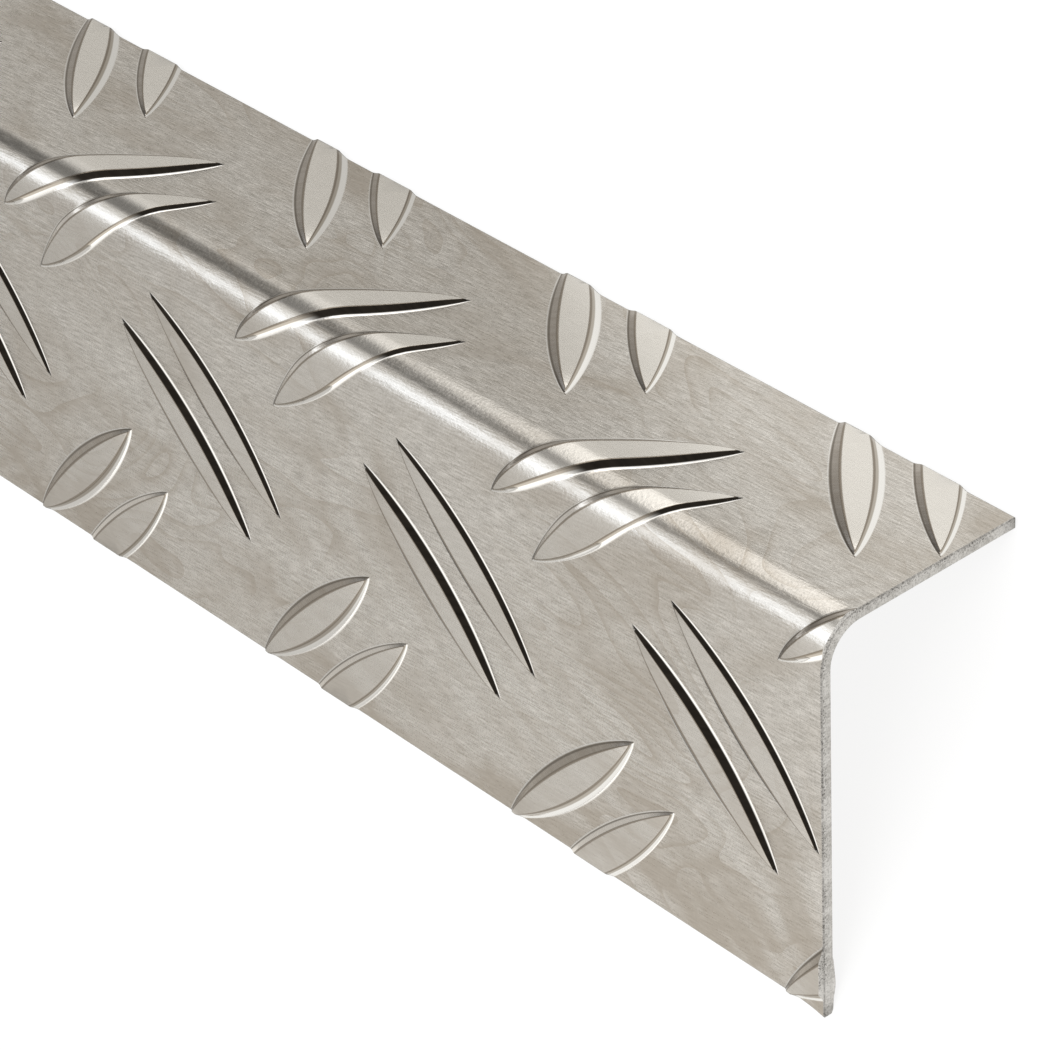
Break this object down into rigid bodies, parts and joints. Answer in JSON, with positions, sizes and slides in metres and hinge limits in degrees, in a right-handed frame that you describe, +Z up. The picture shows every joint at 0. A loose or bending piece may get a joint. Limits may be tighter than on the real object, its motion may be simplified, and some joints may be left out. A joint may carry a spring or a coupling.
{
  "type": "checker plate angle",
  "caption": "Length of aluminium two-bar tread plate folded lengthwise into an angle with unequal legs, used to cover and protect edges and steps.",
  "frame": {"origin": "on the floor under the middle of the angle, which rests on its two long edges with the fold uppermost", "axes": "+X along the length towards the end that the pattern is counted from, +Y across from the wide leg's edge to the narrow leg's edge, +Z up"},
  "size_m": [1, 0.0618, 0.0254],
  "materials": {
    "mill_aluminium": "mill finish, rolled and slightly brushed along the length"
  },
  "bodies": {
    "root": {"checker_plate_angle": "mill_aluminium"}
  },
  "joints": []
}
